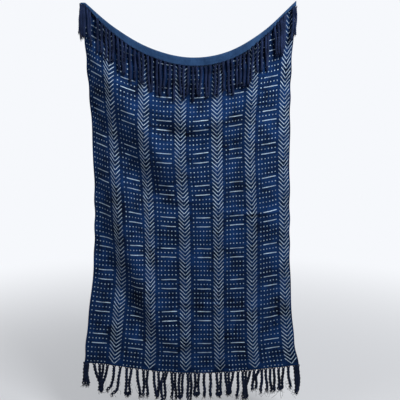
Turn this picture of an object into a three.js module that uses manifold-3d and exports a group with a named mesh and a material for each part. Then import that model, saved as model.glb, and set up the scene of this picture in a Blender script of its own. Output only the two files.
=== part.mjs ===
// Block print blanket, hung by its two top corners with its top end turned forward over the hanging line.
// Millimetres, +Z up. The printed front faces -Y and +X is to the right of someone looking at it.
// The origin is on top of the turned edge, at the middle of its sag.
import * as THREE from 'three';
import Module from 'manifold-3d';

// Cloth
const CLOTH_WIDTH = 1120;
const SHEET = 2;
const TURN_RADIUS = 6;
const LEFT_CORNER_TOP = 246;
const COLUMNS = 36;
const TURN_STEPS = 5;
const BAND_STEPS = 2;
const EDGE_ROLL_REACH = 80;
const FOLD_FADE = 0.85;
const FOLD_STEPS = 48;
const FOLD_TAPER = 0.7;

// Weft lines of the hung cloth from the turned edge down to the hem. x and z place the left edge, the five
// borders between the six repeats of the print, evenly spaced over the width, and the right edge. steps is the
// number of mesh rows down to the next line, belly is how far the middle stands out from the edges, and the two
// rolls are how far the side edges turn back towards the wall.
const WEFT_LINES = [
  { line: 'turned edge', steps: 7, belly: 0, leftRoll: 0, rightRoll: 0,
    x: [-515, -361, -190, -4, 177, 347, 503], z: [264, 135, 38, -6, 19, 113, 254] },
  { line: 'row 9', steps: 8, belly: 16, leftRoll: 34, rightRoll: 18,
    x: [-500, -355, -188, -9, 163, 331, 490], z: [2, -81, -135, -149, -134, -101, -68] },
  { line: 'row 7', steps: 8, belly: 22, leftRoll: 46, rightRoll: 30,
    x: [-487, -343, -188, -13, 164, 319, 493], z: [-348, -401, -449, -461, -441, -418, -392] },
  { line: 'row 5', steps: 8, belly: 18, leftRoll: 44, rightRoll: 28,
    x: [-483, -327, -173, 4, 170, 334, 499], z: [-697, -736, -765, -774, -767, -750, -722] },
  { line: 'row 3', steps: 8, belly: 12, leftRoll: 26, rightRoll: 16,
    x: [-494, -319, -172, 9, 173, 342, 507], z: [-1038, -1068, -1085, -1089, -1089, -1081, -1063] },
  { line: 'row 1', steps: 4, belly: 8, leftRoll: 8, rightRoll: 6,
    x: [-532, -345, -169, 8, 178, 349, 530], z: [-1373, -1396, -1417, -1423, -1423, -1413, -1388] },
  { line: 'hem', steps: 0, belly: 6, leftRoll: 0, rightRoll: 0,
    x: [-547, -361, -178, 9, 187, 367, 559], z: [-1531, -1551, -1575, -1585, -1580, -1564, -1545] },
];

// Height of the turned-over band at places across the cloth: it narrows towards both corners.
const BAND_CHART = [
  { across: 0, height: 8 },
  { across: 60, height: 17 },
  { across: 130, height: 28 },
  { across: 260, height: 39 },
  { across: 860, height: 42 },
  { across: 920, height: 31 },
  { across: 1050, height: 16 },
  { across: 1120, height: 40 },
];

// Main folds: a ridge stands out towards the viewer by height, and a trough, of negative height, goes back.
// width is the distance from the crest at which a fold has sunk to about a third. path runs along the crest.
const FOLDS = [
  { name: 'corner ridge', height: 46, width: 84,
    path: [[-475, 110], [-410, -90], [-305, -270], [-180, -460], [-80, -600]] },
  { name: 'corner trough', height: -20, width: 60,
    path: [[-400, -280], [-350, -410], [-290, -515], [-200, -635], [-83, -750]] },
  { name: 'corner crest', height: 17, width: 34,
    path: [[-470, 110], [-416, -45], [-285, -235], [-142, -450], [-50, -580]] },
  { name: 'side ridge', height: 38, width: 58,
    path: [[-385, -330], [-360, -600], [-330, -850], [-260, -1060], [-163, -1313], [-50, -1470]] },
  { name: 'side trough', height: -24, width: 50,
    path: [[-420, -620], [-415, -840], [-375, -1068], [-290, -1261], [-215, -1420]] },
  { name: 'swag', height: 16, width: 44,
    path: [[-320, -60], [-193, -214], [-63, -295], [48, -324], [169, -286], [289, -176], [390, -30]] },
  { name: 'hollow under the swag', height: -7, width: 42,
    path: [[-140, -330], [-40, -390], [60, -410], [170, -370]] },
  { name: 'right trough', height: -24, width: 42,
    path: [[250, -130], [212, -440], [225, -760]] },
  { name: 'right ridge', height: 20, width: 50,
    path: [[330, -100], [292, -440], [306, -760], [318, -1120]] },
  { name: 'middle ridge', height: 9, width: 46,
    path: [[120, -420], [138, -760], [148, -1120], [160, -1450]] },
  { name: 'lower right hollow', height: -10, width: 60,
    path: [[400, -850], [420, -1120], [450, -1400]] },
];

// Fringe: twisted strands hang from a narrow strip that is parted from the cloth's end.
const TOP_SECTIONS = 6;
const STRANDS_PER_SECTION = 8;
const STRIP_GAP = 0.45;
const STRIP_HEIGHT = 5;
const STRIP_THICKNESS = 3;
const SECTION_GAP = 1.2;
const TOP_LENGTH = 152;
const BOTTOM_LENGTH = 134;
const LENGTH_SPREAD = 9;
const ROOT_DEPTH = 3;
const END_INSET = 7;
const TOP_STAND_OFF = 4;
const TOP_SWAY = 3;
const TOP_SETTLE = 0.25;
const BOTTOM_NOD = 5;

// A strand's rings from root to tip: share of its length and half its width. The knot is near the tip.
const STRAND_RINGS = [
  { share: 0, half: 1.4 },
  { share: 0.12, half: 3.4 },
  { share: 0.72, half: 3.6 },
  { share: 0.84, half: 5 },
  { share: 1, half: 3 },
];

// Bottom strands lean towards each other in these groups, from left to right.
const BOTTOM_GROUPS = [2, 4, 3, 2, 3, 4, 2, 3, 2, 4, 3, 2, 3, 4, 2, 3, 2];
const GROUP_DRAW = 0.36;

const INDIGO_CLOTH = new THREE.MeshStandardMaterial({ color: 0x1c2f57, roughness: 0.95, metalness: 0 });
const INDIGO_YARN = new THREE.MeshStandardMaterial({ color: 0x182038, roughness: 0.9, metalness: 0 });

const wasm = await Module();
wasm.setup();

// Smooth curve through points; its parameter runs evenly from point to point.
function smoothCurve(points) {
  return new THREE.CatmullRomCurve3(points, false, 'catmullrom', 0.5);
}

const weftCurves = WEFT_LINES.map(({ x, z }) =>
  smoothCurve(x.map((value, station) => new THREE.Vector3(value, 0, z[station]))));
const shapeCurve = smoothCurve(
  WEFT_LINES.map(({ belly, leftRoll, rightRoll }) => new THREE.Vector3(belly, leftRoll, rightRoll)));
const foldCrests = FOLDS.map(({ path }) =>
  smoothCurve(path.map(([x, z]) => new THREE.Vector3(x, 0, z))).getPoints(FOLD_STEPS));

// How far the folds stand out at a place on the front, each fading to nothing at its two ends.
function foldHeight(x, z) {
  let total = 0;
  FOLDS.forEach(({ height, width }, number) => {
    let nearest = Infinity;
    let place = 0;
    foldCrests[number].forEach((crest, step) => {
      const distance = Math.hypot(x - crest.x, z - crest.z);
      if (distance < nearest) {
        nearest = distance;
        place = step / FOLD_STEPS;
      }
    });
    const taper = Math.sin(Math.PI * place) ** FOLD_TAPER;
    total += height * taper * Math.exp(-((nearest / width) ** 2));
  });
  return total;
}

// Point of one weft line. The turned edge is held flat at the left corner.
function weftPoint(line, across) {
  const point = weftCurves[line].getPoint(across);
  if (line === 0 && across < 0.5) {
    point.z = Math.min(point.z, LEFT_CORNER_TOP);
  }
  return point;
}

// Point of the hung front: across runs from the left edge (0) to the right edge (1), and down from the turned
// edge (0) to the hem (1).
function frontPoint(across, down) {
  const warp = smoothCurve(WEFT_LINES.map((_, line) => weftPoint(line, across)));
  const point = warp.getPoint(down);
  const shape = shapeCurve.getPoint(down);
  const cloth = across * CLOTH_WIDTH;
  const side = 2 * across - 1;
  const stands = shape.x * (1 - side ** 2)
    - shape.y * Math.exp(-((cloth / EDGE_ROLL_REACH) ** 2))
    - shape.z * Math.exp(-(((CLOTH_WIDTH - cloth) / EDGE_ROLL_REACH) ** 2))
    + foldHeight(point.x, point.z);
  const lines = WEFT_LINES.length - 1;
  const fade = THREE.MathUtils.smoothstep(down * lines, 0, FOLD_FADE);
  point.y = TURN_RADIUS * (1 - fade) - stands * fade;
  return point;
}

// Shares of the way down at which the front has its mesh rows.
function frontRows() {
  const rows = [];
  const lines = WEFT_LINES.length - 1;
  WEFT_LINES.forEach(({ steps }, line) => {
    for (let step = 0; step < steps; step += 1) {
      rows.push((line + step / steps) / lines);
    }
  });
  rows.push(1);
  return rows;
}

const ROWS = frontRows();

// Height of the band at a share of the way across, straight between the chart's places.
function bandHeight(across) {
  const place = across * CLOTH_WIDTH;
  const next = Math.max(1, BAND_CHART.findIndex((row) => row.across >= place));
  const [before, after] = [BAND_CHART[next - 1], BAND_CHART[next]];
  const share = (place - before.across) / (after.across - before.across);
  return THREE.MathUtils.lerp(before.height, after.height, share);
}

// Middle of the sheet in one column, from the end of the turned-over band, over the turn and down to the hem.
function sheetColumn(across) {
  const front = ROWS.map((down) => frontPoint(across, down));
  const top = front[0];
  const turned = [];
  for (let step = 1; step < TURN_STEPS; step += 1) {
    const angle = (Math.PI * step) / TURN_STEPS;
    turned.push(new THREE.Vector3(
      top.x, TURN_RADIUS * Math.cos(angle), top.z + TURN_RADIUS * Math.sin(angle)));
  }
  const band = [];
  for (let step = 0; step <= BAND_STEPS; step += 1) {
    const drop = ((bandHeight(across) - TURN_RADIUS) * step) / BAND_STEPS;
    band.push(new THREE.Vector3(top.x, -TURN_RADIUS, top.z - drop));
  }
  return [...turned, ...band].reverse().concat(front);
}

const sheet = [];
for (let column = 0; column <= COLUMNS; column += 1) {
  sheet.push(sheetColumn(column / COLUMNS));
}

// Unit normal of the sheet's middle at one mesh point.
function sheetNormal(column, row) {
  const lastRow = sheet[column].length - 1;
  const before = sheet[Math.max(column - 1, 0)][row];
  const after = sheet[Math.min(column + 1, COLUMNS)][row];
  const above = sheet[column][Math.max(row - 1, 0)];
  const below = sheet[column][Math.min(row + 1, lastRow)];
  const across = after.clone().sub(before);
  const down = below.clone().sub(above);
  return across.cross(down).normalize();
}

function geometryOf(positions, index) {
  const geometry = new THREE.BufferGeometry();
  geometry.setAttribute('position', new THREE.Float32BufferAttribute(positions, 3));
  geometry.setIndex(index);
  geometry.computeVertexNormals();
  return geometry;
}

// The cloth: the sheet's middle given its thickness, closed along its selvedges, hem and turned-over end.
function clothGeometry() {
  const rows = sheet[0].length;
  const positions = [];
  for (const side of [0.5, -0.5]) {
    for (let column = 0; column <= COLUMNS; column += 1) {
      for (let row = 0; row < rows; row += 1) {
        const point = sheet[column][row].clone().addScaledVector(sheetNormal(column, row), side * SHEET);
        positions.push(...point);
      }
    }
  }
  const layer = (COLUMNS + 1) * rows;
  const at = (side, column, row) => side * layer + column * rows + row;
  const index = [];
  const quad = (a, b, c, d) => index.push(a, b, c, a, c, d);
  for (let column = 0; column < COLUMNS; column += 1) {
    for (let row = 0; row < rows - 1; row += 1) {
      const [a, b, c, d] = [[column, row], [column + 1, row], [column + 1, row + 1], [column, row + 1]];
      quad(at(0, ...a), at(0, ...b), at(0, ...c), at(0, ...d));
      quad(at(1, ...d), at(1, ...c), at(1, ...b), at(1, ...a));
    }
  }
  for (let column = 0; column < COLUMNS; column += 1) {
    const last = rows - 1;
    quad(at(1, column, 0), at(1, column + 1, 0), at(0, column + 1, 0), at(0, column, 0));
    quad(at(0, column, last), at(0, column + 1, last), at(1, column + 1, last), at(1, column, last));
  }
  for (let row = 0; row < rows - 1; row += 1) {
    quad(at(0, 0, row), at(0, 0, row + 1), at(1, 0, row + 1), at(1, 0, row));
    quad(at(1, COLUMNS, row), at(1, COLUMNS, row + 1), at(0, COLUMNS, row + 1), at(0, COLUMNS, row));
  }
  return geometryOf(positions, index);
}

// Closed solid through rings of the same number of points, each ring in the same turning sense.
function loft(rings) {
  const sides = rings[0].length;
  const positions = rings.flat().flatMap((point) => [...point]);
  const index = [];
  for (let ring = 0; ring < rings.length - 1; ring += 1) {
    for (let side = 0; side < sides; side += 1) {
      const next = (side + 1) % sides;
      const a = ring * sides + side;
      const b = ring * sides + next;
      index.push(a, a + sides, b + sides, a, b + sides, b);
    }
  }
  const last = (rings.length - 1) * sides;
  for (let side = 1; side < sides - 1; side += 1) {
    index.push(0, side, side + 1);
    index.push(last, last + side + 1, last + side);
  }
  return { positions, index };
}

function solidOf({ positions, index }) {
  return new wasm.Manifold(new wasm.Mesh({
    numProp: 3,
    vertProperties: new Float32Array(positions),
    triVerts: new Uint32Array(index),
  }));
}

function geometryOfSolid(solid) {
  const mesh = solid.getMesh();
  return geometryOf(Array.from(mesh.vertProperties), Array.from(mesh.triVerts));
}

// Even spread between -1 and 1 that looks unordered but is the same each time.
function uneven(number, turn) {
  return Math.sin(number * 12.9898 + turn * 78.233);
}

// Point on the cloth's end at a fractional column, straight between its neighbours.
function endPoint(edge, place) {
  const column = Math.min(Math.floor(place), COLUMNS - 1);
  return edge[column].clone().lerp(edge[column + 1], place - column);
}

// Narrow strip below one stretch of the cloth's end, with its two ends drawn in by half the section gap.
function stripSolid(edge, first, last) {
  const rings = [];
  for (let column = first; column <= last; column += 1) {
    const point = edge[column].clone();
    if (column === first) {
      point.lerp(edge[column + 1], SECTION_GAP / edge[column].distanceTo(edge[column + 1]) / 2);
    }
    if (column === last) {
      point.lerp(edge[column - 1], SECTION_GAP / edge[column].distanceTo(edge[column - 1]) / 2);
    }
    const [front, back] = [point.y - STRIP_THICKNESS / 2, point.y + STRIP_THICKNESS / 2];
    const [top, foot] = [point.z - STRIP_GAP, point.z - STRIP_GAP - STRIP_HEIGHT];
    rings.push([[front, top], [back, top], [back, foot], [front, foot]].map(
      ([y, z]) => new THREE.Vector3(point.x, y, z)));
  }
  return solidOf(loft(rings));
}

// One four-sided strand from its root down to its tip. path gives its middle at a share of its length.
function strandSolid(path) {
  const rings = STRAND_RINGS.map(({ share, half }) => {
    const middle = path(share);
    return [[1, 1], [-1, 1], [-1, -1], [1, -1]].map(
      ([x, y]) => new THREE.Vector3(middle.x + x * half, middle.y + y * half, middle.z));
  });
  return solidOf(loft(rings));
}

// How far back the front lies behind a place that is given as x and z.
function frontBehind(x, z) {
  let best = null;
  for (let column = 0; column <= COLUMNS; column += 1) {
    for (const point of sheet[column].slice(TURN_STEPS + BAND_STEPS)) {
      const distance = Math.hypot(point.x - x, point.z - z);
      if (!best || distance < best.distance) {
        best = { distance, y: point.y };
      }
    }
  }
  return best.y;
}

// Strands of the top fringe hang straight down and lie over the folds of the front behind them.
function topStrandPath(root, number) {
  const length = TOP_LENGTH + LENGTH_SPREAD * uneven(number, 1);
  const sway = TOP_SWAY * uneven(number, 2);
  const clear = 2 * TURN_RADIUS + TOP_STAND_OFF;
  return (share) => {
    const x = root.x + sway * share ** 2;
    const z = root.z - ROOT_DEPTH - length * share;
    const y = Math.min(root.y, frontBehind(x, z) - clear);
    return new THREE.Vector3(x, THREE.MathUtils.lerp(root.y, y, Math.min(1, share / TOP_SETTLE)), z);
  };
}

// Strands of the bottom fringe lean towards the middle of their group.
function bottomStrandPath(root, number, groupMiddle) {
  const length = BOTTOM_LENGTH + LENGTH_SPREAD * uneven(number, 3);
  const lean = (groupMiddle.x - root.x) * GROUP_DRAW;
  const nod = BOTTOM_NOD * uneven(number, 4);
  return (share) => new THREE.Vector3(
    root.x + lean * share ** 1.5, root.y + nod * share ** 2, root.z - ROOT_DEPTH - length * share);
}

// Fractional columns at which a stretch of the end has its strands, the outer ones just inside the stretch.
function strandPlaces(edge, first, last, count) {
  const span = last - first;
  const inset = END_INSET / edge[first].distanceTo(edge[first + 1]);
  const step = (span - 2 * inset) / (count - 1);
  return Array.from({ length: count }, (_, number) => first + inset + step * number);
}

function topFringeGeometry(section) {
  const edge = sheet.map((column) => column[0]);
  const columns = COLUMNS / TOP_SECTIONS;
  const first = section * columns;
  let solid = stripSolid(edge, first, first + columns);
  strandPlaces(edge, first, first + columns, STRANDS_PER_SECTION).forEach((place, number) => {
    const root = endPoint(edge, place);
    solid = solid.add(strandSolid(topStrandPath(root, section * STRANDS_PER_SECTION + number)));
  });
  return geometryOfSolid(solid);
}

function bottomFringeGeometry() {
  const edge = sheet.map((column) => column[column.length - 1]);
  const count = BOTTOM_GROUPS.reduce((sum, size) => sum + size, 0);
  const roots = strandPlaces(edge, 0, COLUMNS, count).map((place) => endPoint(edge, place));
  let solid = stripSolid(edge, 0, COLUMNS);
  let number = 0;
  for (const size of BOTTOM_GROUPS) {
    const group = roots.slice(number, number + size);
    const middle = group[0].clone().lerp(group[size - 1], 0.5);
    for (const root of group) {
      solid = solid.add(strandSolid(bottomStrandPath(root, number, middle)));
      number += 1;
    }
  }
  return geometryOfSolid(solid);
}

function named(name, geometry, material) {
  const mesh = new THREE.Mesh(geometry, material);
  mesh.name = name;
  return mesh;
}

const blanket = new THREE.Group();
blanket.add(named('blanket_cloth', clothGeometry(), INDIGO_CLOTH));
for (let section = 0; section < TOP_SECTIONS; section += 1) {
  blanket.add(named(`top_fringe_${section + 1}`, topFringeGeometry(section), INDIGO_YARN));
}
blanket.add(named('bottom_fringe', bottomFringeGeometry(), INDIGO_YARN));

export default blanket;
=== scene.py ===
"""Looks of the block print blanket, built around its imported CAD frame.

An indigo cotton throw, block printed in white on its front, hangs by its two top corners. Its top end is
turned forward, so a band of the unprinted reverse shows above the top fringe. Sizes here are millimetres, as
the cloth is charted, and the meshes are metres in the CAD frame: +Z up, with the printed front facing -Y.
"""

import logging
import math
from dataclasses import dataclass, field
from enum import Enum

import bmesh
import bpy
import numpy as np
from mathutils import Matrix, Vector
from mathutils.bvhtree import BVHTree


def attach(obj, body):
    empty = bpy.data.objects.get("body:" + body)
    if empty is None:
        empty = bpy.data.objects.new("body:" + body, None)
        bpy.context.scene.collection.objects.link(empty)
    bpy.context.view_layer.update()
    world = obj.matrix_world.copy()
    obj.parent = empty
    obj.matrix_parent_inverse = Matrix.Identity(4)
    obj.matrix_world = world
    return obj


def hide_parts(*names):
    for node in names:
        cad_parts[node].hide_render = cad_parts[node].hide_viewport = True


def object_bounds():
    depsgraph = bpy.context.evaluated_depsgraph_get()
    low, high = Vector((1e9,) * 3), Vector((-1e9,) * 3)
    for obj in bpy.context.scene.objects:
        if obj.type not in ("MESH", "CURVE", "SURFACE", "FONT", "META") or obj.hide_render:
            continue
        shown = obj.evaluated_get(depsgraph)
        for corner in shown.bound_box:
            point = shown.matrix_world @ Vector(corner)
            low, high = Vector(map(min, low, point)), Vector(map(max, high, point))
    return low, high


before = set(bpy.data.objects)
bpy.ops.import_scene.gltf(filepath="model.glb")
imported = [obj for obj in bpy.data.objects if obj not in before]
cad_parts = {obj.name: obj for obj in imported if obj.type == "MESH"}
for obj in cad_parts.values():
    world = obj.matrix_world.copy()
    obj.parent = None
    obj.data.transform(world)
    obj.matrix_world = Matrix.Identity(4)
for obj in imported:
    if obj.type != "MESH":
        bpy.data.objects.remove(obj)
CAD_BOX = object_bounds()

LOG = logging.getLogger("blanket")
MM = 0.001
BODY = "root"
CLOTH_UV = "cloth"


def linear(colour: str) -> tuple[float, float, float, float]:
    """Turns an sRGB hex colour into a linear one.

    Args:
        colour: the colour as "#rrggbb".

    Returns:
        Linear red, green, blue and an alpha of 1.
    """
    shares = [int(colour[start:start + 2], 16) / 255 for start in (1, 3, 5)]
    levels = [share / 12.92 if share <= 0.04045 else ((share + 0.055) / 1.055) ** 2.4 for share in shares]
    return (*levels, 1.0)


def add_node(tree: bpy.types.NodeTree, kind: str, inputs: dict | None = None, **settings) -> bpy.types.Node:
    """Adds a node with its settings, and links or sets its inputs.

    Args:
        tree: the node tree that takes the node.
        kind: the node's type name.
        inputs: a socket to link or a value to set, by the input's name or number.
        settings: the node's own properties.

    Returns:
        The new node.
    """
    node = tree.nodes.new(kind)
    for name, value in settings.items():
        setattr(node, name, value)
    for key, value in (inputs or {}).items():
        if isinstance(value, bpy.types.NodeSocket):
            tree.links.new(value, node.inputs[key])
        else:
            node.inputs[key].default_value = value
    return node


def add_object(name: str, data: bpy.types.ID) -> bpy.types.Object:
    """Adds an object at the origin that shows a mesh, curve, light or camera."""
    added = bpy.data.objects.new(name, data)
    bpy.context.scene.collection.objects.link(added)
    return added


def smooth_curve(points: np.ndarray, places: np.ndarray) -> np.ndarray:
    """Reads a Catmull-Rom curve that runs evenly from point to point.

    Args:
        points: the points, along the first axis.
        places: shares of the way along the curve, from 0 to 1.

    Returns:
        The curve's values, with places along the first axis.
    """
    before = 2 * points[:1] - points[1:2]
    after = 2 * points[-1:] - points[-2:-1]
    run = np.concatenate([before, points, after])
    at = np.clip(places, 0, 1) * (len(points) - 1)
    index = np.minimum(at.astype(int), len(points) - 2)
    share = (at - index).reshape((-1,) + (1,) * (points.ndim - 1))
    a, b, c, d = (run[index + step] for step in range(4))
    return b + 0.5 * share * (c - a + share * (2 * a - 5 * b + 4 * c - d + share * (3 * (b - c) + d - a)))


def smooth_step(value: np.ndarray) -> np.ndarray:
    """Eases a share from 0 to 1."""
    share = np.clip(value, 0, 1)
    return share * share * (3 - 2 * share)


def uneven(number: int, turn: int) -> float:
    """Gives an unordered value between -1 and 1 that is the same each time."""
    wide = 43758.5453 * math.sin(number * 12.9898 + turn * 78.233)
    return 2 * (wide - math.floor(wide)) - 1


def place_piece(piece: bpy.types.Object, nodes: tuple[str, ...]) -> None:
    """Lets a piece ride on the part and stand for its CAD nodes.

    Args:
        piece: the finished piece.
        nodes: the CAD nodes that it replaces.
    """
    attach(piece, BODY)
    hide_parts(*nodes)


class ClothSide(Enum):
    """Material slots of the cloth's two faces."""

    FRONT = 0
    REVERSE = 1


class Ending(Enum):
    """How the strands of a fringe end."""

    KNOT = "knot"
    TUFT = "tuft"
    CURL = "curl"


@dataclass(frozen=True)
class WeftLine:
    """One weft line of the hung cloth, charted at seven even stations from the left edge to the right one.

    along is the distance up the cloth from its hem, belly how far the middle stands out from the edges, the
    rolls how far the side edges turn back, and lift how far the middle of the left repeat is drawn up.
    """

    name: str
    belly: float
    left_roll: float
    right_roll: float
    lift: float
    x: tuple[float, ...]
    z: tuple[float, ...]
    along: tuple[float, ...]


@dataclass(frozen=True)
class Fold:
    """A ridge, or a trough of negative height, along a crest path of x and z.

    width is the distance from the crest at which it has sunk to about a third.
    """

    name: str
    height: float
    width: float
    path: tuple[tuple[float, float], ...]


@dataclass(frozen=True)
class Bundle:
    """Strands of the bottom fringe that hang together.

    roots and tip are distances across the cloth, drop is their length, and meet the share of it at which they
    come together.
    """

    roots: tuple[float, ...]
    tip: float
    drop: float
    meet: float
    ending: Ending


@dataclass(frozen=True)
class Stretch:
    """A stretch of the top fringe, from its first strand's place across the cloth to its last one's."""

    name: str
    first: float
    last: float
    strands: int


# The hung cloth's weft lines from the turned edge down to the hem.
WEFT_LINES = (
    WeftLine("turned edge", 0, 0, 0, 0, (-515, -361, -190, -4, 177, 347, 503),
             (264, 135, 38, -6, 19, 113, 254), (1724, 1676, 1644, 1634, 1637, 1684, 1759)),
    WeftLine("row 9", 16, 34, 18, 0, (-500, -355, -188, -9, 163, 331, 490),
             (2, -81, -135, -149, -134, -101, -68), (1474,) * 7),
    WeftLine("row 7", 22, 46, 30, 0, (-487, -343, -188, -13, 164, 319, 493),
             (-348, -401, -449, -461, -441, -418, -392), (1144,) * 7),
    WeftLine("row 5", 18, 44, 28, 0, (-483, -327, -173, 4, 170, 334, 499),
             (-697, -736, -765, -774, -767, -750, -722), (814,) * 7),
    WeftLine("row 3", 12, 26, 16, 5, (-494, -319, -172, 9, 173, 342, 507),
             (-1038, -1068, -1085, -1089, -1089, -1081, -1063), (484,) * 7),
    WeftLine("row 1", 8, 8, 6, 10, (-532, -345, -169, 8, 178, 349, 530),
             (-1373, -1396, -1417, -1423, -1423, -1413, -1388), (154,) * 7),
    WeftLine("hem", 6, 0, 0, 5, (-547, -361, -178, 9, 187, 367, 559),
             (-1531, -1551, -1575, -1585, -1580, -1564, -1545), (0,) * 7),
)

# Folds that the CAD has too: name, height, width and crest path.
MAIN_FOLDS = (
    Fold("corner ridge", 46, 84, ((-475, 110), (-410, -90), (-305, -270), (-180, -460), (-80, -600))),
    Fold("corner trough", -20, 60, ((-400, -280), (-350, -410), (-290, -515), (-200, -635), (-83, -750))),
    Fold("side ridge", 38, 58,
         ((-385, -330), (-360, -600), (-330, -850), (-260, -1060), (-163, -1313), (-50, -1470))),
    Fold("side trough", -24, 50, ((-420, -620), (-415, -840), (-375, -1068), (-290, -1261), (-215, -1420))),
    Fold("swag", 16, 44,
         ((-320, -60), (-193, -214), (-63, -295), (48, -324), (169, -286), (289, -176), (390, -30))),
    Fold("hollow under the swag", -7, 42, ((-140, -330), (-40, -390), (60, -410), (170, -370))),
    Fold("right trough", -24, 42, ((250, -130), (212, -440), (225, -760))),
    Fold("right ridge", 20, 50, ((330, -100), (292, -440), (306, -760), (318, -1120))),
    Fold("middle ridge", 9, 46, ((120, -420), (138, -760), (148, -1120), (160, -1450))),
    Fold("lower right hollow", -10, 60, ((400, -850), (420, -1120), (450, -1400))),
)

# Finer creases, drags and ripples.
CREASES = (
    Fold("storage crease, upper", 8, 12, ((-330, -690), (-180, -682), (-40, -690), (60, -698))),
    Fold("storage crease, right", 8, 12, ((130, -742), (260, -752), (390, -748), (480, -735))),
    Fold("storage crease, low", 7, 12, ((-150, -1208), (0, -1215), (140, -1212), (260, -1204))),
    Fold("storage crease, high", 5, 12, ((-120, -384), (20, -398), (150, -392))),
    Fold("corner crest", 17, 34, ((-470, 110), (-416, -45), (-285, -235), (-142, -450), (-50, -580))),
    Fold("corner drag, outer", 9, 18, ((-482, 150), (-455, -40), (-438, -220))),
    Fold("corner drag, inner", -8, 16, ((-420, 110), (-350, -60), (-262, -214))),
    Fold("corner pocket", -14, 24, ((-190, -318), (-112, -356), (-60, -420))),
    Fold("right drag, outer", 8, 18, ((470, 130), (440, -40), (420, -220))),
    Fold("right drag, inner", -7, 16, ((430, 60), (380, -100), (345, -280))),
    Fold("right drag, long", 5, 22, ((395, -240), (380, -560), (386, -900))),
    Fold("side tuck", -8, 18, ((-300, -560), (-282, -760), (-235, -960), (-150, -1150))),
    Fold("side tuck ridge", 6, 20, ((-250, -640), (-225, -830), (-168, -1010), (-70, -1200))),
    Fold("hem ripple, left", 7, 34, ((-438, -1300), (-440, -1420), (-452, -1540))),
    Fold("hem ripple, middle", 5, 40, ((20, -1340), (10, -1460), (6, -1570))),
    Fold("hem ripple, right", 6, 38, ((300, -1300), (312, -1430), (322, -1560))),
    Fold("hem dip, right", -6, 36, ((400, -1330), (424, -1440), (440, -1550))),
)

# Places across the cloth, and the height of the turned-over band there.
BAND_CHART = ((0, 8), (60, 17), (130, 28), (260, 39), (560, 40), (860, 42), (920, 31), (1000, 24), (1050, 14),
              (1105, 18), (1120, 26))

# The top fringe from left to right: first and last strand, and number of strands.
TOP_STRETCHES = (
    Stretch("left corner tassel", 3, 27, 4),
    Stretch("beside the tassel", 43, 52, 2),
    Stretch("main run", 100, 948, 40),
    Stretch("parted strands", 966, 1004, 2),
    Stretch("swept together", 1022, 1060, 5),
    Stretch("right corner", 1108, 1116, 2),
)

# The bottom fringe's bundles from left to right: roots, tip, drop, meeting share and ending.
BOTTOM_BUNDLES = (
    Bundle((4, 10, 17), 5, 116, 0.45, Ending.TUFT),
    Bundle((50, 78, 97, 121), 83, 148, 0.72, Ending.KNOT),
    Bundle((154,), 134, 137, 1.0, Ending.CURL),
    Bundle((186,), 156, 158, 1.0, Ending.CURL),
    Bundle((220, 244), 222, 152, 0.62, Ending.KNOT),
    Bundle((274,), 286, 148, 1.0, Ending.TUFT),
    Bundle((308, 329), 316, 140, 0.5, Ending.TUFT),
    Bundle((362, 386), 377, 142, 0.88, Ending.KNOT),
    Bundle((414, 429), 409, 150, 0.35, Ending.TUFT),
    Bundle((454, 471), 464, 144, 0.55, Ending.TUFT),
    Bundle((495, 512), 497, 140, 0.55, Ending.KNOT),
    Bundle((536, 551), 546, 142, 0.8, Ending.TUFT),
    Bundle((575, 594), 582, 125, 0.88, Ending.KNOT),
    Bundle((623,), 624, 126, 1.0, Ending.KNOT),
    Bundle((657,), 660, 125, 1.0, Ending.KNOT),
    Bundle((692, 714), 705, 129, 0.9, Ending.KNOT),
    Bundle((739, 757, 780), 757, 124, 0.82, Ending.KNOT),
    Bundle((808,), 805, 140, 1.0, Ending.TUFT),
    Bundle((833, 850, 872), 845, 150, 0.6, Ending.TUFT),
    Bundle((894, 920), 896, 104, 0.42, Ending.TUFT),
    Bundle((934,), 933, 124, 1.0, Ending.TUFT),
    Bundle((954,), 962, 123, 1.0, Ending.TUFT),
    Bundle((976,), 982, 126, 1.0, Ending.TUFT),
    Bundle((995,), 1002, 124, 1.0, Ending.KNOT),
    Bundle((1019, 1042), 1029, 122, 0.92, Ending.KNOT),
    Bundle((1066,), 1077, 113, 1.0, Ending.TUFT),
    Bundle((1098, 1107, 1115), 1113, 143, 0.4, Ending.TUFT),
)


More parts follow.
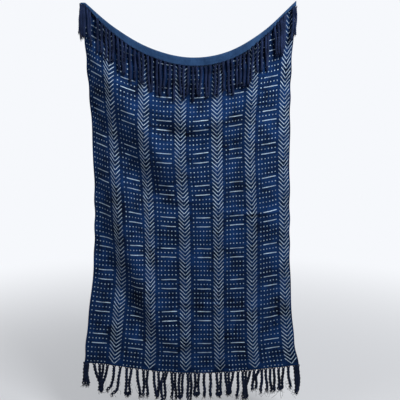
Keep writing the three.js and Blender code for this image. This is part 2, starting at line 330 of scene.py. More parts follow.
@dataclass(frozen=True)
class BlockPrint:
    """The hand-stamped repeat: dots in rows, two barred rows in seven, and a column of chevrons beside them."""

    repeat: float = 1120 / 6
    block_length: float = 165.0
    rows: int = 7
    chevrons: int = 8
    first_row: float = 12.6
    first_dot: float = 15.0
    dot_pitch: float = 18.0
    last_dot: int = 5
    dot_radius: float = 2.8
    bar_rows_middle: int = 5
    bar_middle: float = 69.0
    bar_half: float = 39.0
    bar_radius: float = 2.1
    chevron_tip: float = 153.0
    chevron_middle: float = 152.0
    chevron_reach: float = 28.5
    chevron_slope: float = 1.06
    chevron_start: float = 11.0
    chevron_half: float = 1.5
    notch: float = 0.9
    soft_edge: float = 0.55
    far: float = 100.0
    block_slip: float = 2.4
    coarse_wobble: tuple[float, float] = (42.0, 2.6)
    fine_wobble: tuple[float, float] = (5.5, 1.5)

    def mask(self, tree: bpy.types.NodeTree, place: bpy.types.NodeSocket) -> dict[str, bpy.types.NodeSocket]:
        """Draws the print as a mask on the cloth's own coordinates.

        Args:
            tree: the material's node tree.
            place: millimetres across the cloth and up from its hem.

        Returns:
            The mask, and unordered values from 0 to 1 for each stamped block and each dot.
        """
        for size, reach in (self.coarse_wobble, self.fine_wobble):
            noise = add_node(tree, "ShaderNodeTexNoise", {"Vector": place, "Scale": 1 / size, "Detail": 1.0})
            centred = add_node(tree, "ShaderNodeVectorMath",
                               {0: noise.outputs["Color"], 1: (0.5, 0.5, 0.5)}, operation="SUBTRACT")
            sized = add_node(tree, "ShaderNodeVectorMath",
                             {0: centred.outputs[0], 1: (reach, reach, 0.0)}, operation="MULTIPLY")
            place = add_node(tree, "ShaderNodeVectorMath",
                             {0: place, 1: sized.outputs[0]}, operation="ADD").outputs[0]
        axes = add_node(tree, "ShaderNodeSeparateXYZ", {0: place})
        known = {"u": axes.outputs[0], "v": axes.outputs[1]}
        row_pitch = self.block_length / self.rows
        chevron_pitch = self.block_length / self.chevrons
        lean = math.cos(math.atan(self.chevron_slope))

        def work_out(steps: tuple[tuple, ...]) -> None:
            """Adds one Math node for each step and keeps its result under the step's name."""
            for name, operation, *operands in steps:
                inputs = {number: known.get(value, value) for number, value in enumerate(operands)}
                known[name] = add_node(tree, "ShaderNodeMath", inputs, operation=operation).outputs[0]

        def unordered(name: str, across: str, up: str) -> None:
            """Keeps an unordered colour for each pair of whole numbers under a name."""
            pair = add_node(tree, "ShaderNodeCombineXYZ", {0: known[across], 1: known[up]})
            noise = add_node(tree, "ShaderNodeTexWhiteNoise", {"Vector": pair.outputs[0]})
            parts = add_node(tree, "ShaderNodeSeparateColor", {0: noise.outputs["Color"]})
            for number, part in enumerate("xyz"):
                known[f"{name} {part}"] = parts.outputs[number]

        work_out((
            ("repeats", "DIVIDE", "u", self.repeat),
            ("column", "FLOOR", "repeats"),
            ("x", "FLOORED_MODULO", "u", self.repeat),
            ("up", "SUBTRACT", "v", self.first_row),
            ("row place", "DIVIDE", "up", row_pitch),
            ("row", "ROUND", "row place"),
            ("row blocks", "DIVIDE", "row", self.rows),
            ("block", "FLOOR", "row blocks"),
        ))
        unordered("stamp", "column", "block")
        work_out((
            ("slip x", "MULTIPLY_ADD", "stamp x", self.block_slip, -self.block_slip / 2),
            ("slip y", "MULTIPLY_ADD", "stamp y", self.block_slip, -self.block_slip / 2),
            ("row part", "SUBTRACT", "row place", "row"),
            ("dy", "MULTIPLY_ADD", "row part", row_pitch, "slip y"),
            ("stamp place", "ADD", "x", "slip x"),
            ("from first", "SUBTRACT", "stamp place", self.first_dot),
            ("dot place", "DIVIDE", "from first", self.dot_pitch),
            ("dot near", "ROUND", "dot place"),
            ("dot low", "MAXIMUM", "dot near", 0.0),
            ("dot", "MINIMUM", "dot low", float(self.last_dot)),
            ("dot part", "SUBTRACT", "dot place", "dot"),
            ("dx", "MULTIPLY", "dot part", self.dot_pitch),
            ("row turn", "FLOORED_MODULO", "row", float(self.rows)),
            ("from bars", "SUBTRACT", "row turn", float(self.bar_rows_middle)),
            ("bars off", "ABSOLUTE", "from bars"),
            ("barred", "COMPARE", "bars off", 1.0, 0.1),
            ("plain", "SUBTRACT", 1.0, "barred"),
            ("later dot", "MINIMUM", "dot", 1.0),
            ("dot hidden", "MULTIPLY", "barred", "later dot"),
            ("dx square", "MULTIPLY", "dx", "dx"),
            ("dot square", "MULTIPLY_ADD", "dy", "dy", "dx square"),
            ("dot reach", "SQRT", "dot square"),
            ("dot edge", "SUBTRACT", "dot reach", self.dot_radius),
            ("dots", "MULTIPLY_ADD", "dot hidden", self.far, "dot edge"),
            ("bar from", "SUBTRACT", "stamp place", self.bar_middle),
            ("bar off", "ABSOLUTE", "bar from"),
            ("bar past", "SUBTRACT", "bar off", self.bar_half - self.bar_radius),
            ("bar end", "MAXIMUM", "bar past", 0.0),
            ("bar end square", "MULTIPLY", "bar end", "bar end"),
            ("bar square", "MULTIPLY_ADD", "dy", "dy", "bar end square"),
            ("bar reach", "SQRT", "bar square"),
            ("bar edge", "SUBTRACT", "bar reach", self.bar_radius),
            ("bars", "MULTIPLY_ADD", "plain", self.far, "bar edge"),
            ("arm", "SUBTRACT", "stamp place", self.chevron_tip),
            ("arm off", "ABSOLUTE", "arm"),
            ("arm rise", "MULTIPLY_ADD", "arm off", -self.chevron_slope, "v"),
            ("chevron up", "SUBTRACT", "arm rise", self.chevron_start),
            ("chevron place", "DIVIDE", "chevron up", chevron_pitch),
            ("chevron", "ROUND", "chevron place"),
            ("chevron blocks", "DIVIDE", "chevron", float(self.chevrons)),
            ("chevron block", "FLOOR", "chevron blocks"),
        ))
        unordered("chevron stamp", "column", "chevron block")
        work_out((
            ("chevron slip", "MULTIPLY_ADD", "chevron stamp y", self.block_slip, -self.block_slip / 2),
            ("chevron part", "SUBTRACT", "chevron place", "chevron"),
            ("chevron off", "MULTIPLY_ADD", "chevron part", chevron_pitch, "chevron slip"),
            ("chevron away", "ABSOLUTE", "chevron off"),
            ("stroke", "MULTIPLY_ADD", "chevron away", lean, -self.chevron_half),
            ("from middle", "SUBTRACT", "stamp place", self.chevron_middle),
            ("middle off", "ABSOLUTE", "from middle"),
            ("arm end", "SUBTRACT", "middle off", self.chevron_reach),
            ("arms", "MAXIMUM", "stroke", "arm end"),
            ("tip", "SUBTRACT", self.notch, "arm off"),
            ("notched", "MAXIMUM", "arms", "tip"),
            ("below first", "LESS_THAN", "chevron", -0.5),
            ("chevrons", "MULTIPLY_ADD", "below first", self.far, "notched"),
            ("dots and bars", "MINIMUM", "dots", "bars"),
            ("edge", "MINIMUM", "dots and bars", "chevrons"),
            ("dot number", "MULTIPLY_ADD", "column", float(self.last_dot + 1), "dot"),
        ))
        unordered("touch", "dot number", "row")
        known["mask"] = add_node(
            tree, "ShaderNodeMapRange",
            {"Value": known["edge"], "From Min": self.soft_edge, "From Max": -self.soft_edge},
            interpolation_type="SMOOTHSTEP").outputs[0]
        return {"mask": known["mask"], "stamp": known["stamp z"], "touch": known["touch z"]}


@dataclass(frozen=True)
class MattSurface:
    """How dull and dusty a cotton surface looks: rough, hardly shining, with a faint fibre sheen."""

    roughness: float
    sheen: float
    sheen_roughness: float
    sheen_tint: str
    specular: float = 0.1

    def apply(self, shader: bpy.types.Node) -> None:
        """Sets the values on a Principled shader's own sockets."""
        shader.inputs["Roughness"].default_value = self.roughness
        shader.inputs["Specular IOR Level"].default_value = self.specular
        shader.inputs["Sheen Weight"].default_value = self.sheen
        shader.inputs["Sheen Roughness"].default_value = self.sheen_roughness
        shader.inputs["Sheen Tint"].default_value = linear(self.sheen_tint)


@dataclass(frozen=True)
class IndigoCotton:
    """Hand-woven cotton, vat dyed with indigo, for either face of the cloth.

    The dye takes unevenly, so the eye sees cloudy blues, paler thick yarns and a matt, slightly dusty surface.
    """

    name: str
    deep: str
    pale: str
    ink: str
    ink_cover: float
    printing: BlockPrint = BlockPrint()
    cloud_size: float = 110.0
    wear_size: float = 48.0
    warp_streak: tuple[float, float] = (3.2, 130.0)
    weft_streak: tuple[float, float] = (90.0, 3.6)
    streak_share: float = 0.5
    dye_range: tuple[float, float] = (0.3, 0.7)
    grain_size: float = 7.0
    rubbed_range: tuple[float, float, float] = (0.3, 0.6, 0.62)
    faded_range: tuple[float, float, float] = (0.36, 0.58, 0.6)
    stamp_least: float = 0.82
    touch_least: float = 0.72
    thread_pitch: float = 3.0
    thread_relief: float = 0.5
    relief_strength: float = 0.5
    relief_depth: float = 0.6
    surface: MattSurface = MattSurface(0.94, 0.05, 0.45, "#9fb4d8")

    def material(self) -> bpy.types.Material:
        """Builds the cloth's material.

        Returns:
            The material, on the cloth's own UV map.
        """
        material = bpy.data.materials.new(self.name)
        material.use_nodes = True
        tree = material.node_tree
        shader = tree.nodes["Principled BSDF"]
        metres = add_node(tree, "ShaderNodeUVMap", uv_map=CLOTH_UV)
        place = add_node(tree, "ShaderNodeVectorMath", {0: metres.outputs[0], 1: (1 / MM, 1 / MM, 0.0)},
                         operation="MULTIPLY").outputs[0]

        clouds = add_node(tree, "ShaderNodeTexNoise",
                          {"Vector": place, "Scale": 1 / self.cloud_size, "Detail": 4.0, "Roughness": 0.62})
        streaks = []
        for across, up in (self.warp_streak, self.weft_streak):
            stretched = add_node(tree, "ShaderNodeVectorMath",
                                 {0: place, 1: (1 / across, 1 / up, 0.0)}, operation="MULTIPLY")
            streaks.append(add_node(tree, "ShaderNodeTexNoise",
                                    {"Vector": stretched.outputs[0], "Scale": 1.0, "Detail": 2.0}).outputs[0])
        yarn = add_node(tree, "ShaderNodeMath", {0: streaks[0], 1: streaks[1]}, operation="ADD")
        dye = add_node(tree, "ShaderNodeMath",
                       {0: yarn.outputs[0], 1: self.streak_share, 2: clouds.outputs[0]},
                       operation="MULTIPLY_ADD")
        depth = add_node(tree, "ShaderNodeMapRange",
                         {"Value": dye.outputs[0], "From Min": self.streak_share + self.dye_range[0],
                          "From Max": self.streak_share + self.dye_range[1]})
        cloth = add_node(tree, "ShaderNodeMix",
                         {0: depth.outputs[0], 6: linear(self.deep), 7: linear(self.pale)}, data_type="RGBA")

        drawn = self.printing.mask(tree, place)
        wear = []
        for size, detail, limits in ((self.grain_size, 3.0, self.rubbed_range),
                                     (self.wear_size, 2.0, self.faded_range)):
            noise = add_node(tree, "ShaderNodeTexNoise",
                             {"Vector": place, "Scale": 1 / size, "Detail": detail})
            low, high, least = limits
            wear.append(add_node(
                tree, "ShaderNodeMapRange",
                {"Value": noise.outputs[0], "From Min": low, "From Max": high, "To Min": least}))
        rubbed, faded = wear
        stamped = add_node(tree, "ShaderNodeMapRange", {"Value": drawn["stamp"], "To Min": self.stamp_least})
        touched = add_node(tree, "ShaderNodeMapRange", {"Value": drawn["touch"], "To Min": self.touch_least})
        cover = rubbed.outputs[0]
        for share in (faded.outputs[0], stamped.outputs[0], touched.outputs[0], drawn["mask"],
                      self.ink_cover):
            cover = add_node(tree, "ShaderNodeMath", {0: cover, 1: share}, operation="MULTIPLY").outputs[0]
        colour = add_node(tree, "ShaderNodeMix",
                          {0: cover, 6: cloth.outputs[2], 7: linear(self.ink)}, data_type="RGBA")

        # The real threads lie about 1 mm apart, too fine for the picture: they are drawn at three times that.
        waves = add_node(tree, "ShaderNodeVectorMath",
                         {0: place, 1: (math.pi / self.thread_pitch, math.pi / self.thread_pitch, 0.0)},
                         operation="MULTIPLY")
        ridges = add_node(tree, "ShaderNodeVectorMath", {0: waves.outputs[0]}, operation="SINE")
        threads = add_node(tree, "ShaderNodeSeparateXYZ", {0: ridges.outputs[0]})
        weave = add_node(tree, "ShaderNodeMath", {0: threads.outputs[0], 1: threads.outputs[1]},
                         operation="MULTIPLY")
        relief = add_node(tree, "ShaderNodeMath",
                          {0: weave.outputs[0], 1: self.thread_relief, 2: yarn.outputs[0]},
                          operation="MULTIPLY_ADD")
        bump = add_node(tree, "ShaderNodeBump",
                        {"Strength": self.relief_strength, "Distance": self.relief_depth * MM,
                         "Height": relief.outputs[0]})
        tree.links.new(colour.outputs[2], shader.inputs["Base Color"])
        tree.links.new(bump.outputs[0], shader.inputs["Normal"])
        self.surface.apply(shader)
        return material


@dataclass(frozen=True)
class IndigoYarn:
    """Cotton warp yarn, dyed with the cloth and twisted by hand into strands.

    The eye sees near-black navy in the hollows of the twist and dull grey-blue fibre on its crowns.
    """

    name: str
    deep: str
    pale: str
    fibre_size: tuple[float, float, float] = (1.6, 1.6, 9.0)
    patch_size: float = 55.0
    dye_range: tuple[float, float] = (0.7, 1.35)
    relief_strength: float = 0.6
    relief_depth: float = 0.5
    surface: MattSurface = MattSurface(0.9, 0.08, 0.4, "#a9b6d4")

    def material(self) -> bpy.types.Material:
        """Builds the yarn's material.

        Returns:
            The material, on Object coordinates.
        """
        material = bpy.data.materials.new(self.name)
        material.use_nodes = True
        tree = material.node_tree
        shader = tree.nodes["Principled BSDF"]
        metres = add_node(tree, "ShaderNodeTexCoord").outputs["Object"]
        fibre_scale = tuple(1 / (MM * size) for size in self.fibre_size)
        stretched = add_node(tree, "ShaderNodeVectorMath", {0: metres, 1: fibre_scale}, operation="MULTIPLY")
        fibres = add_node(tree, "ShaderNodeTexNoise",
                          {"Vector": stretched.outputs[0], "Scale": 1.0, "Detail": 2.0})
        patches = add_node(tree, "ShaderNodeTexNoise",
                           {"Vector": metres, "Scale": 1 / (MM * self.patch_size), "Detail": 2.0})
        both = add_node(tree, "ShaderNodeMath", {0: fibres.outputs[0], 1: patches.outputs[0]},
                        operation="ADD")
        depth = add_node(tree, "ShaderNodeMapRange",
                         {"Value": both.outputs[0], "From Min": self.dye_range[0],
                          "From Max": self.dye_range[1]})
        colour = add_node(tree, "ShaderNodeMix",
                          {0: depth.outputs[0], 6: linear(self.deep), 7: linear(self.pale)}, data_type="RGBA")
        bump = add_node(tree, "ShaderNodeBump",
                        {"Strength": self.relief_strength, "Distance": self.relief_depth * MM,
                         "Height": fibres.outputs[0]})
        tree.links.new(colour.outputs[2], shader.inputs["Base Color"])
        tree.links.new(bump.outputs[0], shader.inputs["Normal"])
        self.surface.apply(shader)
        return material


@dataclass
class HungCloth:
    """The woven length as it hangs, from the end of the turned-over band over the turn and down to the hem."""

    width: float = 1120.0
    length: float = 1800.0
    sheet: float = 2.0
    turn_radius: float = 6.0
    left_corner_top: float = 246.0
    lift_middle: float = 105.0
    lift_reach: float = 45.0
    edge_roll_reach: float = 80.0
    fold_fade: float = 0.85
    fold_steps: int = 48
    fold_taper: float = 0.7
    columns: int = 168
    band_rows: int = 8
    turn_rows: int = 12
    front_rows: int = 250
    ripple: float = 1.6
    selvedge_wave: float = 1.8
    selvedge_reach: float = 30.0
    name: str = "blanket_cloth_draped"
    piece: bpy.types.Object | None = None
    skin: BVHTree | None = None

    def fold_height(self, x: np.ndarray, z: np.ndarray, folds: tuple[Fold, ...]) -> np.ndarray:
        """Adds up how far the folds stand out, each fading to nothing at its two ends.

        Args:
            x: places to the right.
            z: places up, of the same shape.
            folds: the folds to add.

        Returns:
            The height at each place.
        """
        total = np.zeros_like(x)
        shares = np.linspace(0, 1, self.fold_steps + 1)
        for fold in folds:
            crest = smooth_curve(np.array(fold.path, float), shares)
            away = np.hypot(x[..., None] - crest[:, 0], z[..., None] - crest[:, 1])
            nearest = away.argmin(-1)
            taper = np.sin(np.pi * shares[nearest]) ** self.fold_taper
            total += fold.height * taper * np.exp(-((away.min(-1) / fold.width) ** 2))
        return total

    def front(self, across: np.ndarray, down: np.ndarray) -> np.ndarray:
        """Places the hung front.

        Args:
            across: shares of the way from the left edge to the right one.
            down: shares of the way from the turned edge to the hem.

        Returns:
            Rows by columns of x, y, z and the distance up the cloth.
        """
        chart = np.array([list(zip(line.x, line.z, line.along)) for line in WEFT_LINES], float)
        by_column = smooth_curve(chart.transpose(1, 0, 2), across)
        lifts = np.exp(-(((across * self.width - self.lift_middle) / self.lift_reach) ** 2))
        by_column[..., 1] += lifts[:, None] * np.array([line.lift for line in WEFT_LINES])
        held = across < 0.5
        by_column[held, 0, 1] = np.minimum(by_column[held, 0, 1], self.left_corner_top)
        x, z, along = np.moveaxis(smooth_curve(by_column.transpose(1, 0, 2), down), -1, 0)
        shapes = np.array([(line.belly, line.left_roll, line.right_roll) for line in WEFT_LINES], float)
        belly, left, right = smooth_curve(shapes, down)[:, None, :].transpose(2, 0, 1)
        place = across * self.width
        ripple = self.ripple * (np.sin(place / 31 + along / 47) * np.sin(along / 83 - place / 59)
                                + np.sin(place / 17 - along / 71) * np.sin(along / 39 + place / 97))
        stands = (belly * (1 - (2 * across - 1) ** 2)
                  - left * np.exp(-((place / self.edge_roll_reach) ** 2))
                  - right * np.exp(-(((self.width - place) / self.edge_roll_reach) ** 2))
                  + self.fold_height(x, z, MAIN_FOLDS + CREASES) + ripple)
        fade = smooth_step(down * (len(WEFT_LINES) - 1) / self.fold_fade)[:, None]
        y = self.turn_radius * (1 - fade) - stands * fade
        edges = (np.exp(-((place / self.selvedge_reach) ** 2))
                 + np.exp(-(((self.width - place) / self.selvedge_reach) ** 2)))
        x = x + self.selvedge_wave * fade * edges * np.sin(along / 29 + 2 * np.sin(along / 113))
        return np.stack([x, y, z, along], -1)

    def sheet_middle(self, across: np.ndarray, rows: np.ndarray) -> np.ndarray:
        """Places the whole sheet's middle surface.

        Args:
            across: shares of the way from the left edge to the right one.
            rows: mesh rows, counted from the hem up over the turn to the band's end.

        Returns:
            Rows by columns of x, y, z and the distance up the cloth.
        """
        front = self.front(across, np.clip(1 - rows / self.front_rows, 0, 1))
        top = front[-1]
        turned = np.clip((rows - self.front_rows) / self.turn_rows, 0, 1)[:, None]
        hung = np.clip((rows - self.front_rows - self.turn_rows) / self.band_rows, 0, 1)[:, None]
        height = np.interp(across * self.width, *zip(*BAND_CHART)) - self.turn_radius
        lip = 1.5 * np.sin(across * 41) + 1.2 * np.sin(across * 83 + 1)
        front[..., 1] -= self.turn_radius * (1 - np.cos(np.pi * turned)) + lip * hung
        front[..., 2] += self.turn_radius * np.sin(np.pi * turned) - height * hung
        front[..., 3] += np.pi * self.turn_radius * turned + height * hung
        front[rows > self.front_rows, :, 0] = top[:, 0]
        return front

    def build(self) -> bpy.types.Object:
        """Models the cloth as one grid that is hung row by row.

        Returns:
            The cloth, with its thickness as a modifier.
        """
        rows = self.front_rows + self.turn_rows + self.band_rows
        mesh_maker = bmesh.new()
        bmesh.ops.create_grid(mesh_maker, x_segments=self.columns, y_segments=rows, size=1.0)
        flat = np.array([vertex.co[:2] for vertex in mesh_maker.verts])
        across, column = np.unique(flat[:, 0].round(5), return_inverse=True)
        up, row = np.unique(flat[:, 1].round(5), return_inverse=True)
        hung = self.sheet_middle((across + 1) / 2, (up + 1) / 2 * rows)[row, column]
        for vertex, point in zip(mesh_maker.verts, hung):
            vertex.co = point[:3] * MM
        for face in mesh_maker.faces:
            face.smooth = True
        self.skin = BVHTree.FromBMesh(mesh_maker)
        mesh = bpy.data.meshes.new(self.name)
        mesh_maker.to_mesh(mesh)
        mesh_maker.free()
        corners = np.zeros(len(mesh.loops), int)
        mesh.loops.foreach_get("vertex_index", corners)
        places = np.column_stack([(flat[:, 0] + 1) / 2 * self.width, hung[:, 3]]) * MM
        mesh.uv_layers.new(name=CLOTH_UV).data.foreach_set("uv", places[corners].ravel())
        self.piece = add_object(self.name, mesh)
        thickness = self.piece.modifiers.new("thickness", "SOLIDIFY")
        thickness.thickness = self.sheet * MM
        thickness.offset = 0.0
        thickness.material_offset = ClothSide.REVERSE.value
        return self.piece

    def dress(self, front: bpy.types.Material, reverse: bpy.types.Material) -> None:
        """Gives the cloth its printed face and its plain one, and its place in the frame."""
        for material in (front, reverse):
            self.piece.data.materials.append(material)
        place_piece(self.piece, ("blanket_cloth",))

    def end_points(self, places: np.ndarray, at_hem: bool) -> np.ndarray:
        """Gives points on the cloth's hem or on the end of its turned-over band.

        Args:
            places: distances across the cloth.
            at_hem: true for the hem, false for the band's end.

        Returns:
            The points.
        """
        last = self.front_rows + self.turn_rows + self.band_rows
        return self.sheet_middle(places / self.width, np.array([0.0, self.front_rows, last]))[
            0 if at_hem else 2, :, :3]

    def front_behind(self, x: float, z: float) -> float | None:
        """Finds how far back the cloth's front lies behind a place, or None beside the cloth."""
        hit = self.skin.ray_cast(Vector((x * MM, -1.0, z * MM)), Vector((0, 1, 0)))[0]
        return None if hit is None else hit.y / MM


@dataclass
class Fringe:
    """Twisted strands along one end of the cloth, gathered as yarns and made into one mesh."""

    cloth: HungCloth
    name: str
    nodes: tuple[str, ...]
    seed: int
    plies: int = 3
    ply_radius: float = 3.0
    ply_offset: float = 3.2
    root_offset: float = 6.0
    root_share: float = 0.09
    twist_pitch: float = 27.0
    rings: int = 44
    knot_yarn: float = 2.6
    fibre_radius: float = 1.0
    hair_radius: float = 0.55
    knot_rings: int = 26
    knot_turns: float = 2.2
    knot_height: float = 11.0
    loose_from: float = 0.86
    root_rise: float = 2.5
    yarns: list[tuple[np.ndarray, np.ndarray]] = field(default_factory=list)
    piece: bpy.types.Object | None = None

    def __post_init__(self) -> None:
        """Starts the fringe's own seeded draw."""
        self.draw = np.random.default_rng(self.seed)

    def sides_of(self, line: np.ndarray) -> tuple[np.ndarray, np.ndarray]:
        """Gives two unit directions square to a line at each of its points."""
        run = np.gradient(line, axis=0)
        run /= np.linalg.norm(run, axis=1, keepdims=True)
        first = np.cross(run, (0.0, 1.0, 0.0))
        first /= np.linalg.norm(first, axis=1, keepdims=True)
        return first, np.cross(run, first)

    def twist(self, line: np.ndarray, frayed: float) -> None:
        """Adds the plies of one strand, spread at the root and loosened at a frayed tip.

        Args:
            line: the strand's middle from root to tip.
            frayed: how far the plies part at the tip, in millimetres.
        """
        share = np.linspace(0, 1, len(line))
        length = np.linalg.norm(np.diff(line, axis=0), axis=1).sum()
        pitch = self.twist_pitch * (1 + 0.12 * self.draw.uniform(-1, 1))
        phase = self.draw.uniform(0, 2 * np.pi)
        rooted = smooth_step(1 - share / self.root_share)
        loose = smooth_step((share - self.loose_from) / (1 - self.loose_from))
        offset = self.ply_offset + (self.root_offset - self.ply_offset) * rooted + frayed * loose
        swell = 1 + 0.08 * np.sin(share * 23 + phase)
        radius = self.ply_radius * swell * (1 - 0.35 * rooted) * (1 - 0.3 * loose)
        first, second = self.sides_of(line)
        turn = 2 * np.pi * share * length / pitch * smooth_step(share / (2 * self.root_share))
        for ply in range(self.plies):
            angle = (turn + 2 * np.pi * ply / self.plies)[:, None]
            aside = np.cos(angle) * first + np.sin(angle) * second
            self.yarns.append((line + offset[:, None] * aside, radius))

    def knot(self, middle: np.ndarray, reach: float) -> None:
        """Adds two turns of yarn tied round a strand or bundle.

        Args:
            middle: the knot's middle.
            reach: how far its turns lie from the middle.
        """
        share = np.linspace(0, 1, self.knot_rings)
        angle = 2 * np.pi * self.knot_turns * share + self.draw.uniform(0, 6)
        girth = reach * (0.75 + 0.3 * np.sin(np.pi * share))
        tilt = self.draw.uniform(-0.3, 0.3)
        turns = np.column_stack([girth * np.cos(angle), girth * np.sin(angle),
                                 (0.5 - share) * self.knot_height + tilt * girth * np.cos(angle)])
        self.yarns.append((middle + turns, np.full(len(share), self.knot_yarn)))

    def tuft(self, tip: np.ndarray, count: int, length: float, spread: float) -> None:
        """Adds loose frayed fibres that hang and curl from a tip.

        Args:
            tip: where they leave the strand.
            count: the number of fibres.
            length: their mean length.
            spread: how far they part.
        """
        share = np.linspace(0, 1, 9)
        for _ in range(count):
            reach = length * self.draw.uniform(0.5, 1.25)
            aside = self.draw.normal(0, spread, 2)
            curl = self.draw.normal(0, 0.35 * spread, 2)
            start = self.draw.normal(0, 2.0, 2)
            wave = np.sin(share * self.draw.uniform(3, 7))
            line = np.column_stack([
                tip[0] + start[0] + aside[0] * share ** 1.4 + curl[0] * wave,
                tip[1] + start[1] + 0.5 * aside[1] * share ** 1.4 + 0.5 * curl[1] * wave,
                tip[2] + 3 - reach * share])
            self.yarns.append((line, self.fibre_radius * self.draw.uniform(0.6, 1.3) * (1 - 0.55 * share)))

    def hair(self, start: np.ndarray, aside: float, fall: float) -> None:
        """Adds one stray fibre that bows out from a strand.

        Args:
            start: where it leaves the strand.
            aside: how far it reaches sideways.
            fall: how far it falls.
        """
        share = np.linspace(0, 1, 12)
        bow = np.sin(share * np.pi * self.draw.uniform(0.7, 1.2))
        line = np.column_stack([
            start[0] + aside * bow,
            start[1] - 3 + 3 * np.sin(share * 5),
            start[2] - fall * share ** 1.2])
        self.yarns.append((line, np.full(len(share), self.hair_radius)))

    def gather(self, name: str) -> bpy.types.Object:
        """Turns the yarns into round tubes in one mesh.

        Args:
            name: the piece's name.

        Returns:
            The mesh object.
        """
        curve = bpy.data.curves.new(f"{name}_lines", "CURVE")
        curve.dimensions = "3D"
        curve.bevel_depth = 1.0
        curve.bevel_resolution = 1
        curve.use_fill_caps = True
        for line, radius in self.yarns:
            spline = curve.splines.new("POLY")
            spline.points.add(len(line) - 1)
            spline.points.foreach_set("co", np.column_stack([line * MM, np.ones(len(line))]).ravel())
            spline.points.foreach_set("radius", radius * MM)
        lines = add_object(f"{name}_lines", curve)
        view = bpy.context.evaluated_depsgraph_get()
        mesh = bpy.data.meshes.new_from_object(lines.evaluated_get(view))
        bpy.data.objects.remove(lines)
        bpy.data.curves.remove(curve)
        mesh.name = name
        return add_object(name, mesh)

    def dress(self, finish: bpy.types.Material) -> None:
        """Gives the fringe its yarn and its place in the frame."""
        self.piece.data.materials.clear()
        self.piece.data.materials.append(finish)
        place_piece(self.piece, self.nodes)


@dataclass
class TopFringe(Fringe):
    """Strands that hang from the turned-over band, over the front behind them."""

    length: float = 150.0
    jitter: float = 3.0
    length_spread: float = 20.0
    sway: float = 10.0
    clear: float = 9.0
    settle: float = 0.2

    def strand_line(self, root: np.ndarray, number: int) -> np.ndarray:
        """Lays one strand straight down, pushed out where the front bulges behind it.

        Args:
            root: where it leaves the band.
            number: the strand's number from the left.

        Returns:
            The strand's middle from root to tip.
        """
        share = np.linspace(0, 1, self.rings)
        length = self.length + self.length_spread * uneven(number, 1)
        x = root[0] + self.sway * uneven(number, 2) * share ** 1.6 + 1.2 * np.sin(share * 9 + number)
        z = root[2] + self.root_rise - length * share
        limits = [self.cloth.front_behind(*place) for place in zip(x, z)]
        pushed = np.array([root[1] if limit is None else min(root[1], limit - self.clear)
                           for limit in limits])
        eased = np.minimum.accumulate(pushed)
        y = root[1] + (eased - root[1]) * smooth_step(share / self.settle)
        return np.column_stack([x, y, z])

    def build(self) -> bpy.types.Object:
        """Models the strands, stretch by stretch from left to right.

        Returns:
            The fringe as one mesh.
        """
        places = np.concatenate([np.linspace(part.first, part.last, part.strands) for part in TOP_STRETCHES])
        places += self.jitter * self.draw.uniform(-1, 1, len(places))
        places = np.clip(places, 2, self.cloth.width - 2)
        for number, root in enumerate(self.cloth.end_points(places, at_hem=False)):
            line = self.strand_line(root, number)
            self.twist(line, frayed=2.0)
            self.tuft(line[-1], count=7, length=15, spread=4)
        self.piece = self.gather(self.name)
        return self.piece


@dataclass
class BottomFringe(Fringe):
    """Strands below the hem that lean together in bundles and end in knots, tufts and curls."""

    plies: int = 2
    ply_radius: float = 4.8
    ply_offset: float = 3.9
    root_offset: float = 7.0
    twist_pitch: float = 36.0
    hairs: int = 5
    lean_power: float = 1.35
    side_by_side: float = 8.0
    curl_reach: float = 17.0
    curl_rise: float = 6.0
    curl_from: float = 0.78
    wander: float = 3.6

    def bundle_line(self, root: np.ndarray, tip: np.ndarray, bundle: Bundle, aside: float) -> np.ndarray:
        """Lays one strand of a bundle from its root to where the bundle comes together.

        Args:
            root: where it leaves the hem.
            tip: the hem's point above the bundle's tip.
            bundle: the bundle it hangs in.
            aside: its place beside the others, from -1 to 1.

        Returns:
            The strand's middle from root to tip.
        """
        share = np.linspace(0, 1, self.rings)
        drawn = np.clip(share / bundle.meet, 0, 1) ** self.lean_power
        goal = tip[0] + aside * self.side_by_side
        phase = self.draw.uniform(0, 2 * np.pi)
        x = root[0] + (goal - root[0]) * drawn + self.wander * share * np.sin(share * 7 + phase)
        y = root[1] + 4 * aside * drawn + 3 * share * np.sin(share * 5 + phase)
        z = root[2] + self.root_rise - bundle.drop * share
        if bundle.ending is Ending.CURL:
            curled = np.clip((share - self.curl_from) / (1 - self.curl_from), 0, 1)
            x -= self.curl_reach * curled ** 2
            z += self.curl_rise * curled ** 2
        return np.column_stack([x, y, z])

    def build(self) -> bpy.types.Object:
        """Models the bundles from left to right.

        Returns:
            The fringe as one mesh.
        """
        for bundle in BOTTOM_BUNDLES:
            count = len(bundle.roots)
            places = np.array(bundle.roots + (min(bundle.tip, self.cloth.width),), float)
            *roots, tip = self.cloth.end_points(places, at_hem=True)
            lines = []
            for number, root in enumerate(roots):
                aside = 0.0 if count == 1 else 2 * number / (count - 1) - 1
                line = self.bundle_line(root, tip, bundle, aside)
                self.twist(line, frayed=1.0 if bundle.ending is Ending.KNOT else 3.0)
                lines.append(line)
            end = np.mean([line[-1] for line in lines], axis=0)
            if bundle.ending is Ending.KNOT:
                self.knot(end + (0, 0, 11), reach=4.5 + 1.5 * count)
                self.knot(end + (1, 0, 5), reach=3.5 + 1.4 * count)
                self.tuft(end, count=10 + 4 * count, length=17, spread=7)
            else:
                for line in lines:
                    self.tuft(line[-1], count=15, length=21, spread=7)
            for _ in range(self.hairs):
                line = lines[self.draw.integers(count)]
                start = line[self.draw.integers(self.rings // 3, self.rings)]
                self.hair(start, self.draw.uniform(-24, 24), self.draw.uniform(15, 60))
        self.piece = self.gather(self.name)
        return self.piece


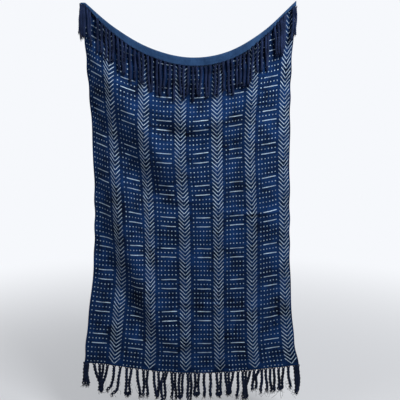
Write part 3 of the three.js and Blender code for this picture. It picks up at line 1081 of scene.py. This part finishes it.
@dataclass(frozen=True)
class Studio:
    """A pale floor, soft lights and the camera, at the photograph's angle."""

    target: tuple[float, float, float] = (0.049, 0.0, -0.687)
    distance: float = 2.5
    elevation: float = 7.0
    lens: float = 45.43
    sensor: float = 36.0
    floor_drop: float = 0.12
    floor_half: float = 60.0
    floor_colour: str = "#cbcdd1"
    floor_dim: str = "#6a6c70"
    floor_fade: tuple[float, float] = (0.8, 4.0)
    floor_veil: float = 0.3
    backdrop_colour: str = "#f6f8fc"
    ambient: float = 0.2

    def camera(self) -> None:
        """Sets the camera on the target, looking along +Y and a little down."""
        angle = math.radians(self.elevation)
        data = bpy.data.cameras.new("camera")
        data.lens = self.lens
        data.sensor_width = self.sensor
        camera = add_object("camera", data)
        back = Vector((0, -math.cos(angle), math.sin(angle)))
        camera.location = Vector(self.target) + self.distance * back
        camera.rotation_euler = (math.pi / 2 - angle, 0, 0)
        bpy.context.scene.camera = camera

    def floor(self) -> None:
        """Lays the pale floor below the fringe, fading into the backdrop and dim in what it throws back."""
        maker = bmesh.new()
        bmesh.ops.create_grid(maker, x_segments=1, y_segments=1, size=self.floor_half)
        bmesh.ops.translate(maker, verts=maker.verts, vec=(0, 0, CAD_BOX[0].z - self.floor_drop))
        mesh = bpy.data.meshes.new("floor")
        maker.to_mesh(mesh)
        maker.free()
        material = bpy.data.materials.new("floor_matt_paint")
        material.use_nodes = True
        tree = material.node_tree
        place = add_node(tree, "ShaderNodeTexCoord")
        away = add_node(tree, "ShaderNodeVectorMath", {0: place.outputs["Object"], 1: (1, 1, 0)},
                        operation="MULTIPLY")
        reach = add_node(tree, "ShaderNodeVectorMath", {0: away.outputs[0]}, operation="LENGTH")
        fade = add_node(tree, "ShaderNodeMapRange",
                        {"Value": reach.outputs["Value"], "From Min": self.floor_fade[0],
                         "From Max": self.floor_fade[1], "To Min": self.floor_veil},
                        interpolation_type="SMOOTHSTEP")
        near = add_node(tree, "ShaderNodeBsdfDiffuse", {"Color": linear(self.floor_colour)})
        far = add_node(tree, "ShaderNodeEmission", {"Color": linear(self.backdrop_colour), "Strength": 1.0})
        seen = add_node(tree, "ShaderNodeMixShader",
                        {0: fade.outputs[0], 1: near.outputs[0], 2: far.outputs[0]})
        dim = add_node(tree, "ShaderNodeBsdfDiffuse", {"Color": linear(self.floor_dim)})
        ray = add_node(tree, "ShaderNodeLightPath")
        mix = add_node(tree, "ShaderNodeMixShader",
                       {0: ray.outputs["Is Camera Ray"], 1: dim.outputs[0], 2: seen.outputs[0]})
        tree.links.new(mix.outputs[0], tree.nodes["Material Output"].inputs["Surface"])
        mesh.materials.append(material)
        add_object("floor", mesh)

    def light(self, name: str, place: tuple[float, float, float], size: float, power: float) -> None:
        """Hangs one soft light that faces the blanket.

        Args:
            name: the light's name.
            place: where it hangs.
            size: the side of its square face.
            power: its power in watts.
        """
        data = bpy.data.lights.new(name, "AREA")
        data.size = size
        data.energy = power
        light = add_object(name, data)
        light.location = place
        facing = Vector(self.target) - Vector(place)
        light.rotation_euler = facing.to_track_quat("-Z", "Y").to_euler()

    def surroundings(self) -> None:
        """Fills the space with pale, even light, and shows it paler than it lights."""
        world = bpy.data.worlds.new("studio")
        world.use_nodes = True
        bpy.context.scene.world = world
        tree = world.node_tree
        seen = add_node(tree, "ShaderNodeBackground",
                        {"Color": linear(self.backdrop_colour), "Strength": 1.0})
        cast = add_node(tree, "ShaderNodeBackground",
                        {"Color": linear(self.backdrop_colour), "Strength": self.ambient})
        ray = add_node(tree, "ShaderNodeLightPath")
        mix = add_node(tree, "ShaderNodeMixShader",
                       {0: ray.outputs["Is Camera Ray"], 1: cast.outputs[0], 2: seen.outputs[0]})
        tree.links.new(mix.outputs[0], tree.nodes["World Output"].inputs["Surface"])
        bpy.context.scene.view_settings.view_transform = "Standard"

    def build(self) -> None:
        """Sets up the camera, the floor and the lights."""
        self.camera()
        self.floor()
        self.surroundings()
        self.light("key", place=(1.5, -1.7, 1.55), size=1.1, power=100)
        self.light("fill", place=(-2.8, -1.5, 1.0), size=1.8, power=40)
        self.light("back", place=(0.6, 2.8, 1.0), size=2.0, power=40)


def main() -> None:
    """Builds the studio, the cloth and its two fringes in order."""
    logging.basicConfig(level=logging.INFO, format="%(name)s: %(message)s")
    Studio().build()
    printed = IndigoCotton("indigo_cotton_block_printed", "#010a1e", "#113365", "#cfe8ff", 1.0)
    reverse = IndigoCotton("indigo_cotton_unprinted_reverse", "#1d3557", "#315079", "#44648f", 0.25)
    # Both fringes are one yarn in two copies: the top fringe's colours are painted lighter, as strands lit from
    # above, and the bottom fringe's painted darker, as strands in shade.
    top_yarn = IndigoYarn("indigo_cotton_yarn_painted_light", "#080f22", "#28375d")
    bottom_yarn = IndigoYarn("indigo_cotton_yarn_painted_shade", "#090f1e", "#1d2843")
    cloth = HungCloth()
    cloth.build()
    cloth.dress(printed.material(), reverse.material())
    top_nodes = tuple(sorted(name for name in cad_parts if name.startswith("top_fringe")))
    top = TopFringe(cloth, "top_fringe_strands", top_nodes, seed=11)
    bottom = BottomFringe(cloth, "bottom_fringe_strands", ("bottom_fringe",), seed=23)
    for fringe, finish in ((top, top_yarn), (bottom, bottom_yarn)):
        fringe.build()
        fringe.dress(finish.material())
    for piece in (cloth.piece, top.piece, bottom.piece):
        LOG.info("%s has %d faces", piece.name, len(piece.data.polygons))


if __name__ == "__main__":
    main()
